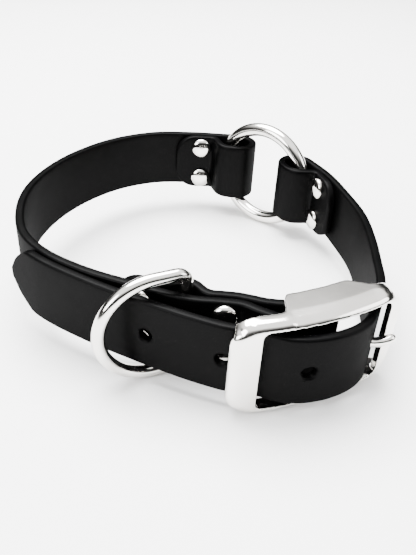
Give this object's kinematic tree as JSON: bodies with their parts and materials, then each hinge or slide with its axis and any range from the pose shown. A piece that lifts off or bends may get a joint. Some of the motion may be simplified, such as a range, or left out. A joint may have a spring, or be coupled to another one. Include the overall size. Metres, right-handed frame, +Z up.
{
  "type": "pet collar",
  "caption": "Flat strap collar fastened by a centre-bar buckle with a prong, with an O-ring joining the straps at the back, a D-ring near the buckle and riveted folds.",
  "frame": {"origin": "middle of the underside of the bounding box, on the surface that the collar stands on", "axes": "+Z up, +X to the right of the picture, +Y to the back, where the O-ring is; the buckle is at -Y"},
  "size_m": [0.1346, 0.1512, 0.0474],
  "materials": {
    "black_coating": "smooth matte coating",
    "bright_nickel": "polished nickel plating"
  },
  "bodies": {
    "straps_and_buckle": {"buckle_strap": "black_coating", "tail_strap": "black_coating", "buckle_frame": "bright_nickel", "buckle_prong": "bright_nickel", "rivet_left_ring_top": "bright_nickel", "rivet_left_ring_bottom": "bright_nickel", "rivet_right_ring_top": "bright_nickel", "rivet_right_ring_bottom": "bright_nickel", "rivet_by_buckle_top": "bright_nickel", "rivet_by_buckle_bottom": "bright_nickel", "rivet_behind_dee_top": "bright_nickel", "rivet_behind_dee_bottom": "bright_nickel"},
    "d_ring_body": {"d_ring": "bright_nickel"},
    "o_ring_body": {"o_ring": "bright_nickel"}
  },
  "joints": [
    {"name": "d_ring_swing", "type": "hinge", "parent": "straps_and_buckle", "child": "d_ring_body", "pos_m": [-0.00045, -0.05119, 0.02007], "axis": [0.0334, -0.029, 0.999], "range_deg": [-6, 88]},
    {"name": "o_ring_turn", "type": "hinge", "parent": "straps_and_buckle", "child": "o_ring_body", "pos_m": [0.02836, 0.05452, 0.02368], "axis": [0.5878, 0.809, 0.0038], "continuous": true}
  ]
}
